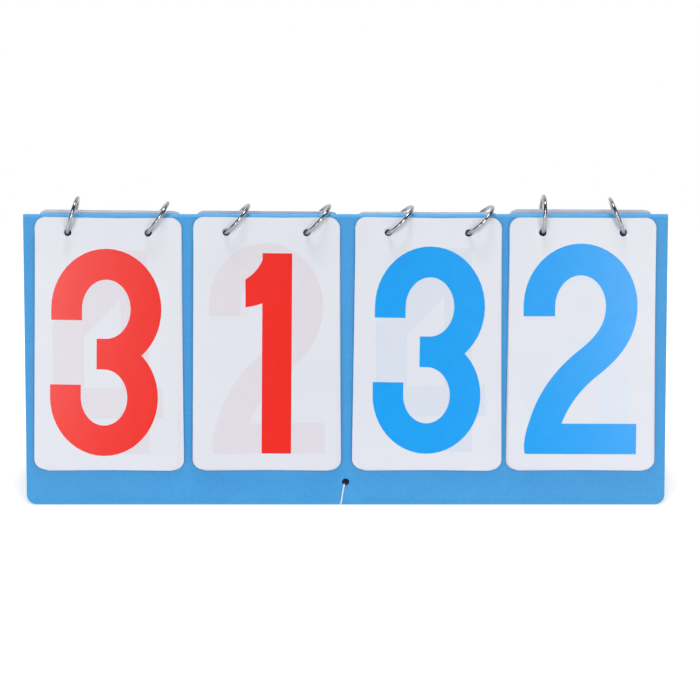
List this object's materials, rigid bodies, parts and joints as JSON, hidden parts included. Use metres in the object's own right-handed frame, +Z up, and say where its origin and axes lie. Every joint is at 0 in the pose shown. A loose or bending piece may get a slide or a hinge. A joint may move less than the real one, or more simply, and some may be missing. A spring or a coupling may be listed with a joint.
{
  "type": "tabletop flip scoreboard",
  "caption": "Tent-shaped tabletop scoreboard: a creased plastic sheet carrying packs of numbered flip cards on hinged rings, red for one side and blue for the other, with a tie string.",
  "frame": {"origin": "on the table, midway between the feet and midway along the crease", "axes": "+X along the crease to the reader's right, -Y towards the reader, +Z up"},
  "size_m": [0.385, 0.0944, 0.1804],
  "materials": {
    "stand_sheet": "glossy light-blue plastic sheet",
    "card_sheet": "satin white plastic card",
    "ring_steel": "nickel-plated wire",
    "cord": "white twisted cord"
  },
  "bodies": {
    "stand_front": {"front_leg": "stand_sheet", "crease": "stand_sheet", "front_string_loop": "cord", "tie_string": "cord", "red_tens_card_9": "card_sheet", "red_tens_card_8": "card_sheet", "red_tens_card_7": "card_sheet", "red_tens_card_6": "card_sheet", "red_tens_card_5": "card_sheet", "red_tens_card_4": "card_sheet", "red_units_card_9": "card_sheet", "red_units_card_8": "card_sheet", "red_units_card_7": "card_sheet", "red_units_card_6": "card_sheet", "red_units_card_5": "card_sheet", "red_units_card_4": "card_sheet", "red_units_card_3": "card_sheet", "red_units_card_2": "card_sheet", "blue_tens_card_9": "card_sheet", "blue_tens_card_8": "card_sheet", "blue_tens_card_7": "card_sheet", "blue_tens_card_6": "card_sheet", "blue_tens_card_5": "card_sheet", "blue_tens_card_4": "card_sheet", "blue_units_card_9": "card_sheet", "blue_units_card_8": "card_sheet", "blue_units_card_7": "card_sheet", "blue_units_card_6": "card_sheet", "blue_units_card_5": "card_sheet", "blue_units_card_4": "card_sheet", "blue_units_card_3": "card_sheet"},
    "stand_back": {"back_leg": "stand_sheet", "back_string_loop": "cord", "red_tens_card_0": "card_sheet", "red_tens_card_1": "card_sheet", "blue_tens_card_0": "card_sheet", "blue_tens_card_1": "card_sheet", "blue_units_card_0": "card_sheet"},
    "red_tens_left_ring": {"red_tens_left_ring": "ring_steel"},
    "red_tens_right_ring": {"red_tens_right_ring": "ring_steel"},
    "red_tens_front_card": {"red_tens_card_3": "card_sheet"},
    "red_tens_rear_card": {"red_tens_card_2": "card_sheet"},
    "red_units_left_ring": {"red_units_left_ring": "ring_steel"},
    "red_units_right_ring": {"red_units_right_ring": "ring_steel"},
    "red_units_front_card": {"red_units_card_1": "card_sheet"},
    "red_units_rear_card": {"red_units_card_0": "card_sheet"},
    "blue_tens_left_ring": {"blue_tens_left_ring": "ring_steel"},
    "blue_tens_right_ring": {"blue_tens_right_ring": "ring_steel"},
    "blue_tens_front_card": {"blue_tens_card_3": "card_sheet"},
    "blue_tens_rear_card": {"blue_tens_card_2": "card_sheet"},
    "blue_units_left_ring": {"blue_units_left_ring": "ring_steel"},
    "blue_units_right_ring": {"blue_units_right_ring": "ring_steel"},
    "blue_units_front_card": {"blue_units_card_2": "card_sheet"},
    "blue_units_rear_card": {"blue_units_card_1": "card_sheet"}
  },
  "joints": [
    {"name": "stand_fold", "type": "hinge", "parent": "stand_front", "child": "stand_back", "pos_m": [0, 0, 0.16703], "axis": [-1, 0, 0], "range_deg": [0, 28.5], "deforming": ["crease", "tie_string"]},
    {"name": "red_tens_front_flip", "type": "hinge", "parent": "stand_front", "child": "red_tens_left_ring", "pos_m": [-0.1655, 0, 0.16823], "axis": [-1, 0, 0], "range_deg": [0, 268.84]},
    {"name": "red_tens_front_settle", "type": "hinge", "parent": "red_tens_left_ring", "child": "red_tens_front_card", "pos_m": [-0.1415, -0.00638, 0.15915], "axis": [-1, 0, 0], "range_deg": [0, 62.69]},
    {"name": "red_tens_rear_flip", "type": "hinge", "parent": "stand_back", "child": "red_tens_right_ring", "pos_m": [-0.1175, 0, 0.16823], "axis": [1, 0, 0], "range_deg": [0, 271.96]},
    {"name": "red_tens_rear_settle", "type": "hinge", "parent": "red_tens_right_ring", "child": "red_tens_rear_card", "pos_m": [-0.1415, 0.00863, 0.16124], "axis": [1, 0, 0], "range_deg": [0, 59.57]},
    {"name": "red_units_front_flip", "type": "hinge", "parent": "stand_front", "child": "red_units_left_ring", "pos_m": [-0.071, 0, 0.16823], "axis": [-1, 0, 0], "range_deg": [0, 268.14]},
    {"name": "red_units_front_settle", "type": "hinge", "parent": "red_units_left_ring", "child": "red_units_front_card", "pos_m": [-0.047, -0.00698, 0.1596], "axis": [-1, 0, 0], "range_deg": [0, 63.61]},
    {"name": "red_units_rear_flip", "type": "hinge", "parent": "stand_back", "child": "red_units_right_ring", "pos_m": [-0.023, 0, 0.16823], "axis": [1, 0, 0], "range_deg": [0, 271.01]},
    {"name": "red_units_rear_settle", "type": "hinge", "parent": "red_units_right_ring", "child": "red_units_rear_card", "pos_m": [-0.047, 0.00825, 0.1608], "axis": [1, 0, 0], "range_deg": [0, 60.74]},
    {"name": "blue_tens_front_flip", "type": "hinge", "parent": "stand_front", "child": "blue_tens_left_ring", "pos_m": [0.0255, 0, 0.16823], "axis": [-1, 0, 0], "range_deg": [0, 275.26]},
    {"name": "blue_tens_front_settle", "type": "hinge", "parent": "blue_tens_left_ring", "child": "blue_tens_front_card", "pos_m": [0.0495, -0.00638, 0.15915], "axis": [-1, 0, 0], "range_deg": [0, 55.89]},
    {"name": "blue_tens_rear_flip", "type": "hinge", "parent": "stand_back", "child": "blue_tens_right_ring", "pos_m": [0.0735, 0, 0.16823], "axis": [1, 0, 0], "range_deg": [0, 277.96]},
    {"name": "blue_tens_rear_settle", "type": "hinge", "parent": "blue_tens_right_ring", "child": "blue_tens_rear_card", "pos_m": [0.0495, 0.00785, 0.16038], "axis": [1, 0, 0], "range_deg": [0, 53.18]},
    {"name": "blue_units_front_flip", "type": "hinge", "parent": "stand_front", "child": "blue_units_left_ring", "pos_m": [0.1175, 0, 0.16823], "axis": [-1, 0, 0], "range_deg": [0, 264.17]},
    {"name": "blue_units_front_settle", "type": "hinge", "parent": "blue_units_left_ring", "child": "blue_units_front_card", "pos_m": [0.1415, -0.00669, 0.15937], "axis": [-1, 0, 0], "range_deg": [0, 67.66]},
    {"name": "blue_units_rear_flip", "type": "hinge", "parent": "stand_back", "child": "blue_units_right_ring", "pos_m": [0.1655, 0, 0.16823], "axis": [1, 0, 0], "range_deg": [0, 267.5]},
    {"name": "blue_units_rear_settle", "type": "hinge", "parent": "blue_units_right_ring", "child": "blue_units_rear_card", "pos_m": [0.1415, 0.00892, 0.16162], "axis": [1, 0, 0], "range_deg": [0, 64.33]}
  ],
  "couplings": [
    {"joint": "red_tens_front_settle", "follows": "red_tens_front_flip", "ratio": 0.23316},
    {"joint": "red_tens_rear_settle", "follows": "red_tens_rear_flip", "ratio": 0.219},
    {"joint": "red_units_front_settle", "follows": "red_units_front_flip", "ratio": 0.23719},
    {"joint": "red_units_rear_settle", "follows": "red_units_rear_flip", "ratio": 0.2241},
    {"joint": "blue_tens_front_settle", "follows": "blue_tens_front_flip", "ratio": 0.203},
    {"joint": "blue_tens_rear_settle", "follows": "blue_tens_rear_flip", "ratio": 0.19129},
    {"joint": "blue_units_front_settle", "follows": "blue_units_front_flip", "ratio": 0.25608},
    {"joint": "blue_units_rear_settle", "follows": "blue_units_rear_flip", "ratio": 0.24045}
  ]
}
